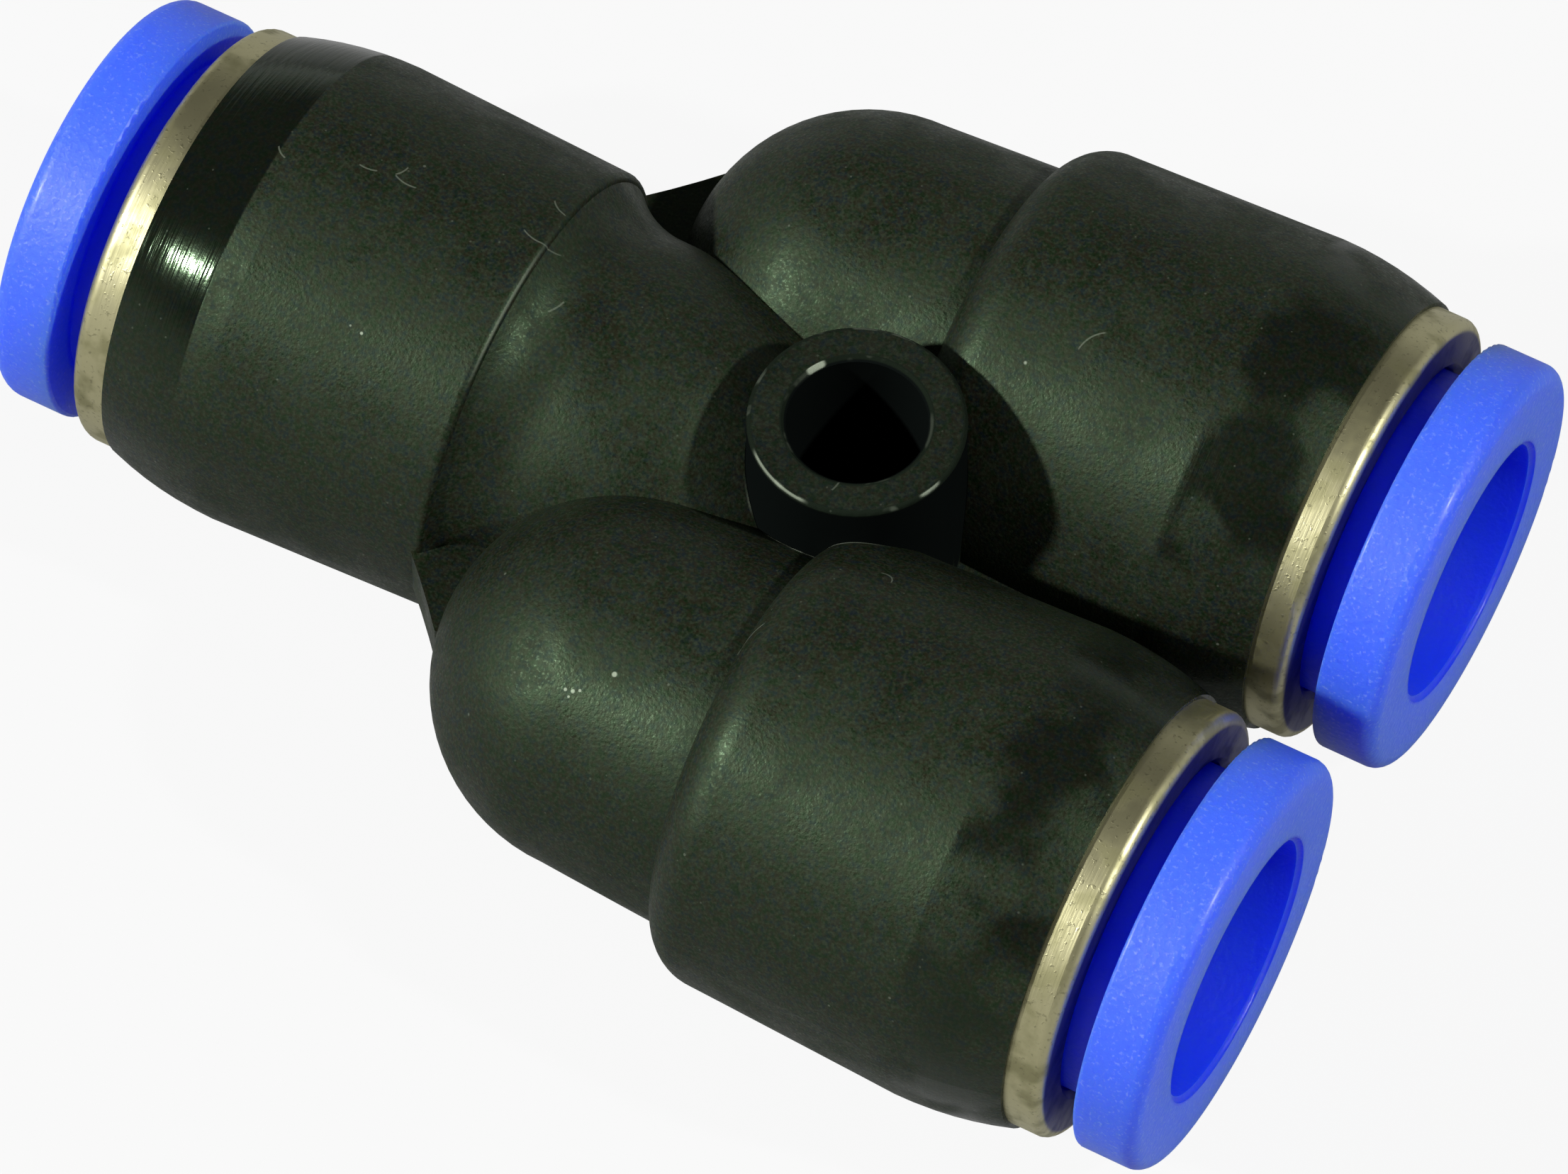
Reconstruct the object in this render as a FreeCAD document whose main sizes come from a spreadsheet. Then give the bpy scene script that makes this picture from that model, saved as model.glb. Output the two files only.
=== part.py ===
import FreeCAD, Part
import math
import os
from types import SimpleNamespace

import Sketcher

# A push-in Y connector for 8 mm tube. X runs from the single inlet to the two outlets, Y across the
# outlets, Z up along the mounting hole. The origin is on the hole's axis, half-way up the body, in the
# plane of the three tube axes. All sizes are millimetres.

SIZES = {
    # Tube, and the fit of what it passes through
    "tube_radius": 4.0,
    "tube_clearance": 0.1,
    # Moulded body: walls, from the socket's bores outwards
    "mouth_wall": 0.85,
    "crown_drop": 0.55,
    "barrel_taper": 0.3,
    "neck_wall": 1.9,
    "dome_taper": 0.25,
    # Moulded body: lengths along the tube axes
    "inlet_length": 21.9,
    "outlet_length": 12.55,
    "crown_length": 3.5,
    "dome_setback": 3.65,
    "dome_gap": 1.4,
    "flare_length": 2.15,
    "neck_curve_radius": 13.7,
    "rim_round": 0.25,
    "outlet_step": 0.5,
    "shoulder_radius": 1.6,
    # Moulded body: passages beyond the tube stops
    "tube_guide_length": 3.96,
    "passage_step": 0.15,
    "passage_overlap": 0.2,
    "stop_ledge": 1.25,
    "dome_end_wall": 3.25,
    # Moulded body: mounting boss and webs
    "mounting_hole_radius": 2.1,
    "hole_edge_chamfer": 0.15,
    "boss_wall": 1.15,
    "boss_draft": 0.05,
    "boss_rise": 0.75,
    "boss_edge_round": 0.12,
    "web_thickness": 2.0,
    "web_radius": 30,
    "web_run": 0.4,
    "web_bite": 0.1,
    "web_rise": 1.5,
    "joint_web_thickness": 1.2,
    "joint_web_end_gap": 0.6,
    "joint_web_bite": 0.3,
    # Cap ring of nickel-plated brass
    "collar_setback": 0.13,
    "collar_height": 1.18,
    "collar_edge_round": 0.35,
    "collar_mouth_chamfer": 0.2,
    "lip_length": 1.3,
    "lip_height": 0.5,
    "skirt_length": 4.2,
    "skirt_wall": 0.32,
    # Release sleeve
    "release_gap": 0.92,
    "flange_height": 1.36,
    "flange_thickness": 2.04,
    "flange_edge_round": 0.5,
    "flange_back_round": 0.12,
    "sleeve_lead_in": 0.15,
    "sleeve_wall": 1.1,
    "stem_clearance": 0.08,
    "bead_height": 0.3,
    "bead_play": 0.08,
    "bead_length": 0.7,
    "bead_taper": 0.7,
    "nose_wall": 0.75,
    "nose_entry": 0.1,
    "slit_width": 0.8,
    "slit_length": 2.6,
    "slit_count": 4,
    # Lock claw of stainless steel
    "claw_thickness": 0.3,
    "claw_rim_width": 0.75,
    "claw_bite": 0.12,
    "claw_tip_drop": 1.0,
    "claw_slot_width": 0.5,
    "claw_slot_bite": 0.25,
    "claw_tooth_count": 10,
    # Back ring and seal ring
    "ring_clearance": 0.05,
    "back_ring_flange": 0.5,
    "back_ring_length": 2.4,
    "back_ring_play": 0.15,
    "back_ring_cone_lead": 0.6,
    "seal_height": 1.4,
    "seal_length": 2.35,
    "seal_flare": 0.3,
    "seal_land": 0.7,
    "seal_squeeze": 0.12,
    "seal_edge_round": 0.35,
    "seal_end_play": 0.15,
}


class Size:
    """A length that carries both its value and the spreadsheet expression it comes from."""

    def __init__(self, value, text):
        self.value = value
        self.text = text

    def joined(self, other, sign, value):
        return Size(value, f"({self.text} {sign} {as_size(other).text})")

    def __add__(self, other):
        return self.joined(other, "+", self.value + as_size(other).value)

    def __sub__(self, other):
        return self.joined(other, "-", self.value - as_size(other).value)

    def __mul__(self, other):
        return self.joined(other, "*", self.value * as_size(other).value)

    def __truediv__(self, other):
        return self.joined(other, "/", self.value / as_size(other).value)

    def __neg__(self):
        return Size(-self.value, f"(-1 * {self.text})")


def as_size(number):
    return number if isinstance(number, Size) else Size(number, str(number))


def root(size):
    return Size(math.sqrt(size.value), f"sqrt({size.text})")


def tangent_radius(run, rise):
    """Radius of an arc that leaves a straight line at a tangent and climbs by rise over run."""
    return (run * run + rise * rise) / (rise * 2)


def tangent_run(radius, rise):
    """The run that such an arc needs when its radius is given instead."""
    return root(radius * rise * 2 - rise * rise)


def fill_sheet(doc):
    sheet = doc.addObject("Spreadsheet::Sheet", "Sizes")
    for row, (name, value) in enumerate(SIZES.items(), start=1):
        sheet.set(f"A{row}", name)
        sheet.set(f"B{row}", str(value))
        sheet.setAlias(f"B{row}", name)
    doc.recompute()
    return SimpleNamespace(**{name: Size(value, f"Sizes.{name}") for name, value in SIZES.items()})


def add_following_sizes(s):
    """Radii and depths that follow from the sheet: pieces that fit each other share them."""
    # Radii at each port, from the tube outwards: sleeve, cap ring, body
    s.tube_bore_radius = s.tube_radius + s.tube_clearance
    s.stem_radius = s.tube_bore_radius + s.sleeve_wall
    s.lip_radius = s.stem_radius + s.stem_clearance
    s.relief_radius = s.lip_radius + s.lip_height
    s.socket_radius = s.relief_radius + s.skirt_wall
    s.chamber_radius = s.tube_bore_radius + s.seal_height
    s.mouth_radius = s.socket_radius + s.mouth_wall
    s.barrel_radius = s.mouth_radius + s.crown_drop
    s.step_radius = s.barrel_radius - s.barrel_taper
    s.neck_radius = s.tube_bore_radius + s.neck_wall
    s.dome_radius = s.neck_radius - s.dome_taper
    # Depths in from each mouth: cap ring, claw, back ring, seal, tube stop
    s.claw_back = s.skirt_length + s.claw_thickness
    s.socket_depth = s.claw_back + s.back_ring_flange
    s.seal_front = s.claw_back + s.back_ring_length
    s.chamber_depth = s.seal_front + s.seal_length + s.seal_end_play
    s.stop_depth = s.chamber_depth + s.tube_guide_length
    # Places of the outlets, the inlet's rim and the boss's ends
    s.passage_radius = s.tube_bore_radius - s.passage_step
    s.branch_offset = s.passage_radius * 2 - s.passage_overlap
    s.inlet_step = s.dome_setback + s.dome_radius + s.dome_gap
    s.boss_half_height = s.neck_radius + s.boss_rise
    return s


def bind(item, prop, size):
    item.setExpression(prop, as_size(size).text)


def new_body(doc, label):
    body = doc.addObject("PartDesign::Body", label)
    body.Label = label
    return body


def origin_part(body, role):
    return next(part for part in body.Origin.OriginFeatures if part.Role == role)


def new_sketch(body, name, plane, offset=None):
    """Sketch on one of the body's own planes; offset is (axis letter, size) within that plane."""
    sketch = body.newObject("Sketcher::SketchObject", name)
    sketch.AttachmentSupport = (origin_part(body, plane), [""])
    sketch.MapMode = "FlatFace"
    if offset is not None:
        bind(sketch, f"AttachmentOffset.Base.{offset[0]}", offset[1])
    return sketch


def arc_between(start, end, radius, turn):
    """Minor arc from start to end; turn is +1 when it runs anticlockwise and -1 when clockwise."""
    chord = end - start
    rise = math.sqrt(max(radius**2 - (chord.Length / 2) ** 2, 0))
    left = FreeCAD.Vector(-chord.y, chord.x, 0).normalize()
    centre = (start + end) * 0.5 + left * rise * turn
    first, last = (start, end) if turn > 0 else (end, start)
    angles = [math.atan2(point.y - centre.y, point.x - centre.x) for point in (first, last)]
    if angles[1] < angles[0]:
        angles[1] += 2 * math.pi
    return Part.ArcOfCircle(Part.Circle(centre, FreeCAD.Vector(0, 0, 1), radius), *angles)


def draw_outline(sketch, corners, arcs=None):
    """Closed outline through corners. arcs gives, for an edge's number, its radius and its turn."""
    arcs = arcs or {}
    points = [FreeCAD.Vector(as_size(x).value, as_size(y).value, 0) for x, y in corners]
    ends = []
    for edge, start in enumerate(points):
        end = points[(edge + 1) % len(points)]
        if edge in arcs:
            radius, turn = arcs[edge]
            geometry = sketch.addGeometry(arc_between(start, end, radius.value, turn))
            ends.append((geometry, 1, 2) if turn > 0 else (geometry, 2, 1))
        else:
            geometry = sketch.addGeometry(Part.LineSegment(start, end))
            ends.append((geometry, 1, 2))
    for edge, (geometry, first, _) in enumerate(ends):
        before, _, last = ends[edge - 1]
        sketch.addConstraint(Sketcher.Constraint("Coincident", before, last, geometry, first))
        for axis, line, coordinate in (("X", -2, corners[edge][0]), ("Y", -1, corners[edge][1])):
            size = as_size(coordinate)
            if size.text == "0":
                sketch.addConstraint(Sketcher.Constraint("PointOnObject", geometry, first, line))
                continue
            rule = Sketcher.Constraint(f"Distance{axis}", -1, 1, geometry, first, size.value)
            bind(sketch, f"Constraints[{sketch.addConstraint(rule)}]", size)
    for edge, (radius, _) in arcs.items():
        rule = Sketcher.Constraint("Radius", ends[edge][0], radius.value)
        bind(sketch, f"Constraints[{sketch.addConstraint(rule)}]", radius)
    return sketch


def revolve(body, kind, name, sketch, axis="H_Axis"):
    """Full turn of a sketch about one of its own axes, as a Revolution or a Groove."""
    feature = body.newObject(f"PartDesign::{kind}", name)
    feature.Profile = (sketch, [""])
    feature.ReferenceAxis = (sketch, [axis])
    feature.Angle = 360
    body.Tip = feature
    return feature


def extrude(body, kind, name, sketch, length=None, midplane=False, reverse=False):
    """Pad or Pocket of a sketch; without a length it goes through everything."""
    feature = body.newObject(f"PartDesign::{kind}", name)
    feature.Profile = (sketch, [""])
    feature.Midplane = midplane
    feature.Reversed = reverse
    if length is None:
        feature.Type = "ThroughAll"
    else:
        feature.Type = "Length"
        bind(feature, "Length", length)
    body.Tip = feature
    return feature


def mirror_across(body, name, feature):
    """The same feature on the other outlet, on the far side of the XZ plane."""
    copy = body.newObject("PartDesign::Mirrored", name)
    copy.Originals = [feature]
    copy.MirrorPlane = (origin_part(body, "XZ_Plane"), [""])
    body.Tip = copy
    return copy


def repeat_round(body, name, feature, count):
    """Copies of a feature, evenly spaced round the body's X axis."""
    pattern = body.newObject("PartDesign::PolarPattern", name)
    pattern.Originals = [feature]
    pattern.Axis = (origin_part(body, "X_Axis"), [""])
    pattern.Angle = 360
    bind(pattern, "Occurrences", count)
    body.Tip = pattern
    return pattern


def add_inlet_barrel(body, s):
    """Crowned barrel, sharp rim, flare down to the neck, and the neck as far as the outlets."""
    rim_radius = s.step_radius - s.rim_round
    neck_run = s.inlet_step - s.flare_length
    neck_drop = s.neck_curve_radius - root(s.neck_curve_radius * s.neck_curve_radius - neck_run * neck_run)
    nose_radius = s.neck_radius - neck_drop
    sketch = draw_outline(
        new_sketch(body, "InletOutline", "XY_Plane"),
        [
            (-s.inlet_length, 0),
            (-s.inlet_length, s.mouth_radius),
            (s.crown_length - s.inlet_length, s.barrel_radius),
            (-(s.inlet_step + s.rim_round), s.step_radius),
            (-s.inlet_step, rim_radius),
            (s.flare_length - s.inlet_step, s.neck_radius),
            (0, nose_radius),
            (0, 0),
        ],
        {
            1: (tangent_radius(s.crown_length, s.crown_drop), -1),
            3: (s.rim_round, -1),
            4: (tangent_radius(s.flare_length, rim_radius - s.neck_radius), 1),
            5: (s.neck_curve_radius, -1),
        },
    )
    return revolve(body, "Revolution", "InletBarrel", sketch)


def add_outlet_barrels(body, s):
    """Domed neck, rounded shoulder and crowned barrel, on both sides."""
    shoulder_run = tangent_run(s.shoulder_radius, s.step_radius - s.neck_radius)
    sketch = draw_outline(
        new_sketch(body, "OutletOutline", "XY_Plane", ("y", s.branch_offset)),
        [
            (-(s.dome_setback + s.dome_radius), 0),
            (-s.dome_setback, s.dome_radius),
            (s.outlet_step, s.neck_radius),
            (s.outlet_step + shoulder_run, s.step_radius),
            (s.outlet_length - s.crown_length, s.barrel_radius),
            (s.outlet_length, s.mouth_radius),
            (s.outlet_length, 0),
        ],
        {
            0: (s.dome_radius, -1),
            2: (s.shoulder_radius, -1),
            4: (tangent_radius(s.crown_length, s.crown_drop), -1),
        },
    )
    return mirror_across(body, "OutletBarrels", revolve(body, "Revolution", "OutletBarrel", sketch))


def add_webs(body, s):
    """Flat webs at mid-height: inlet rim to domes, and barrel to barrel."""
    start = -(s.inlet_step + s.web_run)
    root_width = s.step_radius - s.web_bite
    width = s.branch_offset + s.web_rise
    dome_reach = root(s.dome_radius * s.dome_radius - s.web_rise * s.web_rise)
    end = -(s.dome_setback + dome_reach)
    sketch = draw_outline(
        new_sketch(body, "WebOutline", "XY_Plane"),
        [
            (start, root_width),
            (end, width),
            (-s.dome_setback, width),
            (-s.dome_setback, -width),
            (end, -width),
            (start, -root_width),
        ],
        {0: (s.web_radius, 1), 4: (s.web_radius, 1)},
    )
    extrude(body, "Pad", "RimWebs", sketch, s.web_thickness, midplane=True)
    reach = s.outlet_length - s.crown_length - s.joint_web_end_gap
    half_width = s.branch_offset - s.socket_radius - s.joint_web_bite
    sketch = draw_outline(
        new_sketch(body, "JointWebOutline", "XY_Plane"),
        [(s.outlet_step, -half_width), (reach, -half_width), (reach, half_width), (s.outlet_step, half_width)],
    )
    extrude(body, "Pad", "JointWeb", sketch, s.joint_web_thickness, midplane=True)


def socket_corners(s, mouth, inward):
    """Stepped bore from the mouth to the tube stop; inward is +1 or -1 along X."""

    def at(depth):
        return mouth + depth * inward

    return [
        (mouth, 0),
        (mouth, s.socket_radius),
        (at(s.socket_depth), s.socket_radius),
        (at(s.socket_depth), s.chamber_radius),
        (at(s.chamber_depth), s.chamber_radius),
        (at(s.chamber_depth), s.tube_bore_radius),
        (at(s.stop_depth), s.tube_bore_radius),
        (at(s.stop_depth), 0),
    ]


def cut_sockets(body, s):
    sketch = draw_outline(new_sketch(body, "InletSocketOutline", "XY_Plane"), socket_corners(s, -s.inlet_length, 1))
    revolve(body, "Groove", "InletSocket", sketch)
    sketch = new_sketch(body, "OutletSocketOutline", "XY_Plane", ("y", s.branch_offset))
    draw_outline(sketch, socket_corners(s, s.outlet_length, -1))
    mirror_across(body, "OutletSockets", revolve(body, "Groove", "OutletSocket", sketch))


def cut_passage(body, s, name, across, outer, inner):
    """Bore from the tube stop inwards, with a ledge above and below that the tube's end stops on."""
    half_height = s.passage_radius - s.stop_ledge
    side = root(s.passage_radius * s.passage_radius - half_height * half_height)
    sketch = draw_outline(
        new_sketch(body, f"{name}Outline", "YZ_Plane", ("z", outer)),
        [
            (across + side, -half_height),
            (across + side, half_height),
            (across - side, half_height),
            (across - side, -half_height),
        ],
        {0: (s.passage_radius, 1), 2: (s.passage_radius, 1)},
    )
    return extrude(body, "Pocket", name, sketch, outer - inner)


def cut_passages(body, s):
    """Three straight core pins: the inlet's overlaps each outlet's sideways, which joins the bores."""
    outlet_stop = s.outlet_length - s.stop_depth
    dome_end = s.dome_end_wall - s.dome_setback - s.dome_radius
    cut_passage(body, s, "InletPassage", as_size(0), outlet_stop, s.stop_depth - s.inlet_length)
    mirror_across(
        body,
        "OutletPassages",
        cut_passage(body, s, "OutletPassage", s.branch_offset, outlet_stop, dome_end),
    )


def add_boss(body, s):
    """Round boss for the mounting screw. It stands across the passage, and the flow parts round it."""
    top_radius = s.mounting_hole_radius + s.boss_wall
    rim = top_radius - s.boss_edge_round
    side = s.boss_half_height - s.boss_edge_round
    sketch = draw_outline(
        new_sketch(body, "BossOutline", "XZ_Plane"),
        [
            (0, -s.boss_half_height),
            (rim, -s.boss_half_height),
            (top_radius, -side),
            (top_radius + s.boss_draft, 0),
            (top_radius, side),
            (rim, s.boss_half_height),
            (0, s.boss_half_height),
        ],
        {1: (s.boss_edge_round, 1), 4: (s.boss_edge_round, 1)},
    )
    return revolve(body, "Revolution", "Boss", sketch, "V_Axis")


def cut_mounting_hole(body, s):
    wide = s.mounting_hole_radius + s.hole_edge_chamfer
    straight = s.boss_half_height - s.hole_edge_chamfer
    sketch = draw_outline(
        new_sketch(body, "MountingHoleOutline", "XZ_Plane"),
        [
            (0, -s.boss_half_height),
            (wide, -s.boss_half_height),
            (s.mounting_hole_radius, -straight),
            (s.mounting_hole_radius, straight),
            (wide, s.boss_half_height),
            (0, s.boss_half_height),
        ],
    )
    revolve(body, "Groove", "MountingHole", sketch, "V_Axis")


def make_moulded_body(doc, s):
    body = new_body(doc, "body")
    add_inlet_barrel(body, s)
    add_outlet_barrels(body, s)
    add_webs(body, s)
    cut_passages(body, s)
    add_boss(body, s)
    cut_sockets(body, s)
    cut_mounting_hole(body, s)
    return body


# The five pieces in each socket are drawn along X from the body's mouth at x = 0: positive x is outside
# the body and negative x is inside it. place_at_port then puts each piece on its own port.


def make_cap_ring(body, s):
    """Collar outside the mouth, skirt pressed into the socket, lip that keeps the sleeve in."""
    collar_radius = s.mouth_radius - s.collar_setback
    sketch = draw_outline(
        new_sketch(body, "CapRingOutline", "XY_Plane"),
        [
            (s.collar_height, s.lip_radius + s.collar_mouth_chamfer),
            (s.collar_height, collar_radius - s.collar_edge_round),
            (s.collar_height - s.collar_edge_round, collar_radius),
            (0, collar_radius),
            (0, s.socket_radius),
            (-s.skirt_length, s.socket_radius),
            (-s.skirt_length, s.relief_radius),
            (-s.lip_length, s.relief_radius),
            (-s.lip_length, s.lip_radius),
            (s.collar_height - s.collar_mouth_chamfer, s.lip_radius),
        ],
        {1: (s.collar_edge_round, 1)},
    )
    revolve(body, "Revolution", "CapRing", sketch)


def make_lock_claw(body, s):
    """Flat rim held between cap ring and back ring, with teeth bent inwards and split by slots."""
    front = -s.skirt_length
    back = -s.claw_back
    rim = s.socket_radius - s.ring_clearance
    bend = rim - s.claw_rim_width
    tip = s.tube_radius - s.claw_bite
    sketch = draw_outline(
        new_sketch(body, "LockClawOutline", "XY_Plane"),
        [
            (front, rim),
            (back, rim),
            (back, bend),
            (back - s.claw_tip_drop, tip),
            (front - s.claw_tip_drop, tip),
            (front, bend),
        ],
    )
    revolve(body, "Revolution", "LockClaw", sketch)
    half = s.claw_slot_width / 2
    slot_end = back - s.claw_tip_drop
    sketch = draw_outline(
        new_sketch(body, "ClawSlotOutline", "XY_Plane"),
        [(slot_end, -half), (front, -half), (front, half), (slot_end, half)],
    )
    slot = extrude(body, "Pocket", "ClawSlot", sketch, bend - s.claw_slot_bite)
    repeat_round(body, "ClawSlots", slot, s.claw_tooth_count)


def make_back_ring(body, s):
    """Spacer behind the claw: its cone gives the teeth room to open, its nose holds the seal."""
    front = -s.claw_back
    back = -s.seal_front
    flange = s.socket_radius - s.ring_clearance
    outside = s.chamber_radius - s.ring_clearance
    bore = s.tube_bore_radius + s.back_ring_play
    sketch = draw_outline(
        new_sketch(body, "BackRingOutline", "XY_Plane"),
        [
            (front, flange),
            (-s.socket_depth, flange),
            (-s.socket_depth, outside),
            (back, outside),
            (back, bore),
            (front - s.claw_tip_drop - s.back_ring_cone_lead, bore),
            (front, flange - s.claw_rim_width + s.ring_clearance),
        ],
    )
    revolve(body, "Revolution", "BackRing", sketch)


def make_seal_ring(body, s):
    """Lip seal: a land that grips the tube, then a bore that opens towards the tube stop."""
    front = -s.seal_front
    back = front - s.seal_length
    outside = s.chamber_radius
    tip = s.tube_radius - s.seal_squeeze
    round_off = s.seal_edge_round
    sketch = draw_outline(
        new_sketch(body, "SealRingOutline", "XY_Plane"),
        [
            (front, tip + round_off),
            (front, outside - round_off),
            (front - round_off, outside),
            (back + round_off, outside),
            (back, outside - round_off),
            (back, s.tube_radius + s.seal_flare),
            (front - s.seal_land, tip),
            (front - round_off, tip),
        ],
        {1: (round_off, 1), 3: (round_off, 1), 7: (round_off, 1)},
    )
    revolve(body, "Revolution", "SealRing", sketch)


def make_release_sleeve(body, s):
    """Flange to push on, stem through the cap ring, snap bead behind its lip, nose by the claw."""
    flange_back = s.collar_height + s.release_gap
    flange_radius = s.stem_radius + s.flange_height
    face = flange_back + s.flange_thickness
    bead_front = -(s.lip_length + s.bead_play)
    bead_back = bead_front - s.bead_length
    bead_radius = s.stem_radius + s.bead_height
    nose_front = bead_back - s.bead_taper
    nose_back = s.release_gap - s.skirt_length - s.nose_entry
    nose_radius = s.tube_bore_radius + s.nose_wall
    sketch = draw_outline(
        new_sketch(body, "ReleaseSleeveOutline", "XY_Plane"),
        [
            (face, s.tube_bore_radius + s.sleeve_lead_in),
            (face, flange_radius - s.flange_edge_round),
            (face - s.flange_edge_round, flange_radius),
            (flange_back + s.flange_back_round, flange_radius),
            (flange_back, flange_radius - s.flange_back_round),
            (flange_back, s.stem_radius),
            (bead_front, s.stem_radius),
            (bead_front, bead_radius),
            (bead_back, bead_radius),
            (nose_front, nose_radius),
            (nose_back, nose_radius),
            (nose_back, s.tube_bore_radius),
            (face - s.sleeve_lead_in, s.tube_bore_radius),
        ],
        {1: (s.flange_edge_round, 1), 3: (s.flange_back_round, 1), 12: (s.sleeve_lead_in, -1)},
    )
    revolve(body, "Revolution", "ReleaseSleeve", sketch)
    half = s.slit_width / 2
    slit_end = nose_back + s.slit_length
    sketch = draw_outline(
        new_sketch(body, "SlitOutline", "XY_Plane"),
        [(nose_back, -half), (slit_end, -half), (slit_end, half), (nose_back, half)],
    )
    repeat_round(body, "Slits", extrude(body, "Pocket", "Slit", sketch), s.slit_count)


def place_at_port(body, mouth, across, turned):
    """Puts a piece on a port; a turned piece faces the other way, out of the inlet."""
    body.Placement.Rotation = FreeCAD.Rotation(FreeCAD.Vector(0, 0, 1), 180 if turned else 0)
    bind(body, "Placement.Base.x", mouth)
    bind(body, "Placement.Base.y", across)


PORT_PIECES = {
    "cap_ring": make_cap_ring,
    "lock_claw": make_lock_claw,
    "back_ring": make_back_ring,
    "seal_ring": make_seal_ring,
    "release_sleeve": make_release_sleeve,
}


def make_ports(doc, s):
    ports = {
        "inlet": (-s.inlet_length, as_size(0), True),
        "left_outlet": (s.outlet_length, s.branch_offset, False),
        "right_outlet": (s.outlet_length, -s.branch_offset, False),
    }
    bodies = []
    for port, (mouth, across, turned) in ports.items():
        for piece, make_piece in PORT_PIECES.items():
            body = new_body(doc, f"{port}_{piece}")
            make_piece(body, s)
            place_at_port(body, mouth, across, turned)
            bodies.append(body)
    return bodies


def export_bodies(doc, bodies):
    """Writes one STEP file per body, once every object of the document is sound."""
    for item in doc.Objects:
        if "Invalid" in item.State or "Error" in item.State:
            raise RuntimeError(f"{item.Name} did not build: {item.State}")
    os.makedirs("parts", exist_ok=True)
    for body in bodies:
        shape = body.Shape
        if shape.isNull() or not shape.isValid() or len(shape.Solids) != 1:
            raise RuntimeError(f"{body.Label} is not one sound solid")
        shape.exportStep(f"parts/{body.Label}.step")


def main():
    doc = FreeCAD.newDocument("TubingYConnector")
    s = add_following_sizes(fill_sheet(doc))
    bodies = [make_moulded_body(doc, s)] + make_ports(doc, s)
    doc.recompute()
    export_bodies(doc, bodies)
    for body in bodies:
        print(body.Label, round(body.Shape.Volume, 2))


main()
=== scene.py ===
# %% [markdown]
# # A push-in Y connector for 8 mm tube
#
# The object is a small tube fitting: a black moulded body with one inlet and two outlets, a metal
# ring at each mouth, and a blue sleeve that is pushed in to let the tube go. Its pieces come
# ready made and to size, as a fixed frame. This lesson gives them their finish, their light and
# their camera. Sizes are in millimetres wherever a name doesn't say otherwise, and `MM` turns
# them into Blender's metres.

# %% Load the pieces
import math

import bpy
from mathutils import Matrix, Vector


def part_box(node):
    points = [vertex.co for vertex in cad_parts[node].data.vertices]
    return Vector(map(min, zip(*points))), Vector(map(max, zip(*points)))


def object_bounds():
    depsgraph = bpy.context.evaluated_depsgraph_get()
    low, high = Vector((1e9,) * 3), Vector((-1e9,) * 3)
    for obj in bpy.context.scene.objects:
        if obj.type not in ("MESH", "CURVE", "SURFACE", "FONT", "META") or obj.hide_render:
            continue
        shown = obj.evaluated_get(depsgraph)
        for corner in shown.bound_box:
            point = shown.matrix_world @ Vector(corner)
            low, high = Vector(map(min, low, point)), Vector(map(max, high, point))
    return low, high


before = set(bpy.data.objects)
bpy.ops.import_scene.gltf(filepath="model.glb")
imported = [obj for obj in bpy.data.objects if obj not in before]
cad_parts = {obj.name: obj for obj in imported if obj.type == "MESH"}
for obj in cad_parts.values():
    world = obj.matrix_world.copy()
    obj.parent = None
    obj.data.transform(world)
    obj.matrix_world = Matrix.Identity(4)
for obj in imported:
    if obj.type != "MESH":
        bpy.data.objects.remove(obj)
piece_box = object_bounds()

MM = 0.001
PORTS = ("inlet", "left_outlet", "right_outlet")
low, high = piece_box
print(len(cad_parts), "pieces, size in mm:", [round(side / MM, 2) for side in high - low])

# %% [markdown]
# ## The camera
#
# A long lens from above the right outlet's side. The lens and the place were measured from the
# object's own edges: the three round mouths, the mounting hole and the barrels' outlines. The
# camera is described by where it looks and how it stands round that point, because those numbers
# mean something to a reader, and its matrix is worked out from them. The lens is written as its
# focal length in widths of the sensor, which is what the fit gives.

# %% Place the camera
CAMERA_AZIMUTH = math.radians(27.936)
CAMERA_ELEVATION = math.radians(58.805)
CAMERA_ROLL = math.radians(0.289)
CAMERA_DISTANCE = 320.86 * MM
CAMERA_TARGET = Vector((-1.097, -2.450, 0)) * MM
LENS_IN_SENSOR_WIDTHS = 6.8836
SENSOR_WIDTH = 36.0
NEAREST, FARTHEST = 10 * MM, 10


def direction(azimuth, elevation):
    """Unit vector from the object to a place round it; azimuth 0 is the right outlet's side."""
    flat = math.cos(elevation)
    return Vector((flat * math.sin(azimuth), -flat * math.cos(azimuth), math.sin(elevation)))


def make_camera():
    back = direction(CAMERA_AZIMUTH, CAMERA_ELEVATION)
    level = Vector((0, 0, 1)).cross(back).normalized()
    upright = back.cross(level)
    right = math.cos(CAMERA_ROLL) * level + math.sin(CAMERA_ROLL) * upright
    up = back.cross(right)
    lens = bpy.data.cameras.new("long_lens")
    lens.sensor_width = SENSOR_WIDTH
    lens.lens = LENS_IN_SENSOR_WIDTHS * SENSOR_WIDTH
    lens.clip_start, lens.clip_end = NEAREST, FARTHEST
    camera = bpy.data.objects.new("camera", lens)
    turn = Matrix((right, up, back)).transposed().to_4x4()
    camera.matrix_world = Matrix.Translation(CAMERA_TARGET + back * CAMERA_DISTANCE) @ turn
    bpy.context.scene.collection.objects.link(camera)
    bpy.context.scene.camera = camera
    return camera


camera = make_camera()
camera_place = [round(c / MM, 1) for c in camera.matrix_world.translation]
print("camera at", camera_place, "mm, lens", round(camera.data.lens, 1))

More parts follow.
